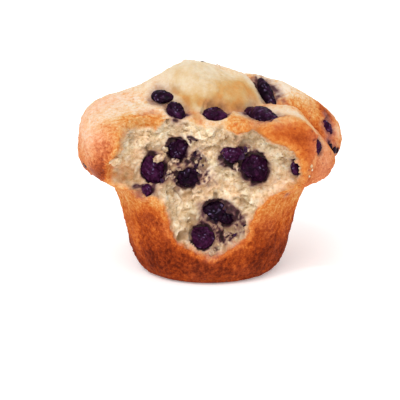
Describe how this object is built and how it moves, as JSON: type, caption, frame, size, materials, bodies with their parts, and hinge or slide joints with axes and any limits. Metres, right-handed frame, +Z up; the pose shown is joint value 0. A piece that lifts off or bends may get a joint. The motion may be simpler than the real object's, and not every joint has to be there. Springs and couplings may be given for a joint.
{
  "type": "blueberry muffin",
  "caption": "Large baked blueberry muffin with a domed, lobed cap over a straight tapered foot, its front broken open to show pale crumb and dark baked berries.",
  "frame": {"origin": "middle of the flat base, on the surface the muffin stands on", "axes": "+Z up through the dome; +X to the right as the broken front is looked at; +Y away from the broken front"},
  "size_m": [0.1025, 0.0822, 0.0801],
  "materials": {
    "crust_and_crumb": "baked crust, golden to brown and dull, with a cream porous crumb in the broken front",
    "baked_berry": "burst baked berry skin, near-black purple and wet"
  },
  "bodies": {
    "root": {"muffin": "crust_and_crumb", "berry_top_left": "baked_berry", "berry_top_middle_left": "baked_berry", "berry_top_middle": "baked_berry", "berry_top_right": "baked_berry", "berry_top_rear_right": "baked_berry", "berry_top_summit": "baked_berry", "berry_face_upper_left": "baked_berry", "berry_face_left": "baked_berry", "berry_face_middle_left": "baked_berry", "berry_face_low_left": "baked_berry", "berry_face_upper_right": "baked_berry", "berry_face_right": "baked_berry", "berry_face_far_right": "baked_berry", "berry_face_low_middle": "baked_berry", "berry_face_lowest": "baked_berry", "berry_side_right": "baked_berry", "berry_side_left": "baked_berry", "berry_rim_right": "baked_berry", "berry_rear_top_right": "baked_berry", "berry_rear_top": "baked_berry", "berry_rear_top_left": "baked_berry", "berry_rear_side_left": "baked_berry", "berry_rear_side_right": "baked_berry", "berry_rear_wall": "baked_berry"}
  },
  "joints": []
}
